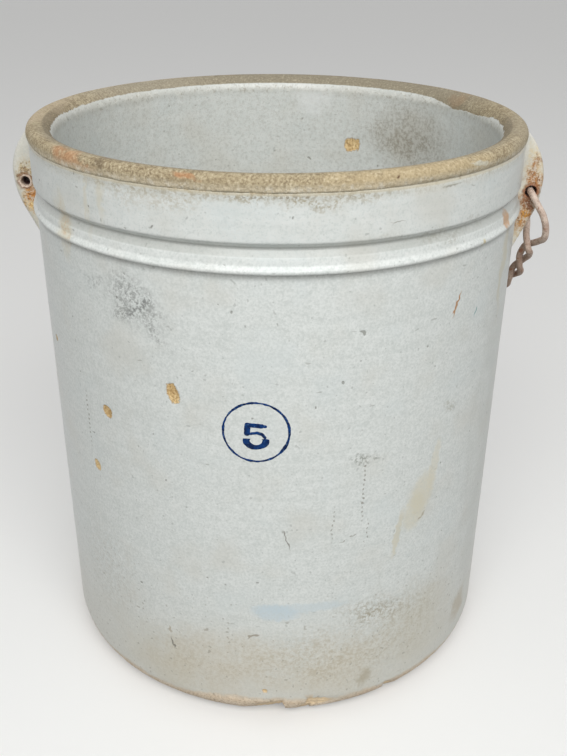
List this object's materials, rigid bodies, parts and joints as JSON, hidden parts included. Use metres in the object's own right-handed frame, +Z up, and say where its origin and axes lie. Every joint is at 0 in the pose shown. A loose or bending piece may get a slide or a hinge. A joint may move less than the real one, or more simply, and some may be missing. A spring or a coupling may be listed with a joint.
{
  "type": "stoneware crock",
  "caption": "Open cylindrical stoneware crock with a bare rounded rim, collar and bead, pierced ears on both sides, and a swinging twisted wire bail in one ear.",
  "frame": {"origin": "middle of the flat foot, on the surface that the crock stands on", "axes": "+Z up along the pot's axis; the numbered front looks along -Y; the ears stand on the X axis, with the bail in the ear on +X"},
  "size_m": [0.339, 0.302, 0.354],
  "materials": {
    "glazed_stoneware": "worn off-white glaze, bare tan clay on the rim and foot",
    "rusted_wire": "dusty rust-brown iron wire"
  },
  "bodies": {
    "crock": {"crock_body": "glazed_stoneware", "ear_left": "glazed_stoneware", "ear_right": "glazed_stoneware"},
    "bail": {"bail_wire": "rusted_wire"}
  },
  "joints": [
    {"name": "bail_swing", "type": "hinge", "parent": "crock", "child": "bail", "pos_m": [0.1569, 0, 0.3112], "axis": [0, -1, 0], "range_deg": [0, 150]}
  ]
}
